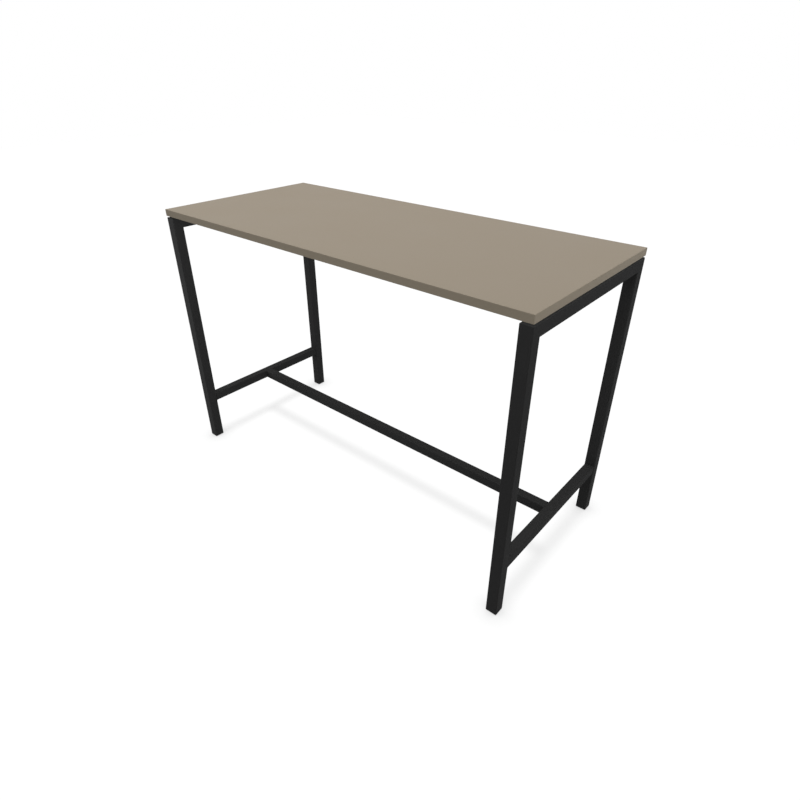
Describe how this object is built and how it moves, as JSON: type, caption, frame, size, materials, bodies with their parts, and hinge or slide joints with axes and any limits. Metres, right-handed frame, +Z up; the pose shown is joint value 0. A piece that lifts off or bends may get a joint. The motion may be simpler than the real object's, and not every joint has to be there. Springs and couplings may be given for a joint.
{
  "type": "standing meeting table",
  "caption": "High rectangular meeting table with a thick flat top over a shadow gap, square tube end frames, a footrest rail and screw-in levelling feet.",
  "frame": {"origin": "on the floor under the middle of the top", "axes": "+X along the table, +Y from its front long edge to its rear one, +Z up"},
  "size_m": [1.6, 0.7, 1.05],
  "materials": {
    "laminate": "matt warm grey-beige melamine facing on particle board",
    "edge_band": "matt warm grey-beige edge band",
    "black_steel": "fine-textured matt black powder coat on steel tube",
    "black_plastic": "matt black moulded plastic",
    "zinc_steel": "zinc-plated steel",
    "sole_rubber": "dark rubber"
  },
  "bodies": {
    "table": {"tabletop_board": "laminate", "front_edge_band": "edge_band", "rear_edge_band": "edge_band", "left_edge_band": "edge_band", "right_edge_band": "edge_band", "top_spacers": "black_plastic", "left_upper_bar": "black_steel", "left_lower_bar": "black_steel", "left_spigot": "black_steel", "left_front_leg": "black_steel", "left_rear_leg": "black_steel", "right_upper_bar": "black_steel", "right_lower_bar": "black_steel", "right_spigot": "black_steel", "right_front_leg": "black_steel", "right_rear_leg": "black_steel", "front_top_rail": "black_steel", "front_rail_left_plate": "black_steel", "front_rail_right_plate": "black_steel", "rear_top_rail": "black_steel", "rear_rail_left_plate": "black_steel", "rear_rail_right_plate": "black_steel", "footrest_rail": "black_steel", "left_front_leg_plug": "black_plastic", "left_rear_leg_plug": "black_plastic", "right_front_leg_plug": "black_plastic", "right_rear_leg_plug": "black_plastic", "top_inserts": "zinc_steel", "top_screws": "zinc_steel", "left_plate_bolts": "zinc_steel", "left_rivet_nuts": "zinc_steel", "left_lock_screws": "zinc_steel", "right_plate_bolts": "zinc_steel", "right_rivet_nuts": "zinc_steel", "right_lock_screws": "zinc_steel", "left_front_plug_nut": "zinc_steel", "left_rear_plug_nut": "zinc_steel", "right_front_plug_nut": "zinc_steel", "right_rear_plug_nut": "zinc_steel"},
    "left_front_foot_base": {"left_front_foot_sole": "sole_rubber"},
    "left_front_foot_screw": {"left_front_foot_head": "black_plastic", "left_front_foot_stud": "zinc_steel"},
    "left_rear_foot_base": {"left_rear_foot_sole": "sole_rubber"},
    "left_rear_foot_screw": {"left_rear_foot_head": "black_plastic", "left_rear_foot_stud": "zinc_steel"},
    "right_front_foot_base": {"right_front_foot_sole": "sole_rubber"},
    "right_front_foot_screw": {"right_front_foot_head": "black_plastic", "right_front_foot_stud": "zinc_steel"},
    "right_rear_foot_base": {"right_rear_foot_sole": "sole_rubber"},
    "right_rear_foot_screw": {"right_rear_foot_head": "black_plastic", "right_rear_foot_stud": "zinc_steel"}
  },
  "joints": [
    {"name": "left_front_foot_travel", "type": "slide", "parent": "table", "child": "left_front_foot_base", "axis": [0, 0, -1], "range_m": [0, 0.01]},
    {"name": "left_front_foot_turn", "type": "hinge", "parent": "left_front_foot_base", "child": "left_front_foot_screw", "pos_m": [-0.78, -0.329, 0], "axis": [0, 0, -1], "range_deg": [0, 2880]},
    {"name": "left_rear_foot_travel", "type": "slide", "parent": "table", "child": "left_rear_foot_base", "axis": [0, 0, -1], "range_m": [0, 0.01]},
    {"name": "left_rear_foot_turn", "type": "hinge", "parent": "left_rear_foot_base", "child": "left_rear_foot_screw", "pos_m": [-0.78, 0.329, 0], "axis": [0, 0, -1], "range_deg": [0, 2880]},
    {"name": "right_front_foot_travel", "type": "slide", "parent": "table", "child": "right_front_foot_base", "axis": [0, 0, -1], "range_m": [0, 0.01]},
    {"name": "right_front_foot_turn", "type": "hinge", "parent": "right_front_foot_base", "child": "right_front_foot_screw", "pos_m": [0.78, -0.329, 0], "axis": [0, 0, -1], "range_deg": [0, 2880]},
    {"name": "right_rear_foot_travel", "type": "slide", "parent": "table", "child": "right_rear_foot_base", "axis": [0, 0, -1], "range_m": [0, 0.01]},
    {"name": "right_rear_foot_turn", "type": "hinge", "parent": "right_rear_foot_base", "child": "right_rear_foot_screw", "pos_m": [0.78, 0.329, 0], "axis": [0, 0, -1], "range_deg": [0, 2880]}
  ],
  "couplings": [
    {"joint": "left_front_foot_travel", "follows": "left_front_foot_turn", "m_per_rad": 0.00019894},
    {"joint": "left_rear_foot_travel", "follows": "left_rear_foot_turn", "m_per_rad": 0.00019894},
    {"joint": "right_front_foot_travel", "follows": "right_front_foot_turn", "m_per_rad": 0.00019894},
    {"joint": "right_rear_foot_travel", "follows": "right_rear_foot_turn", "m_per_rad": 0.00019894}
  ]
}
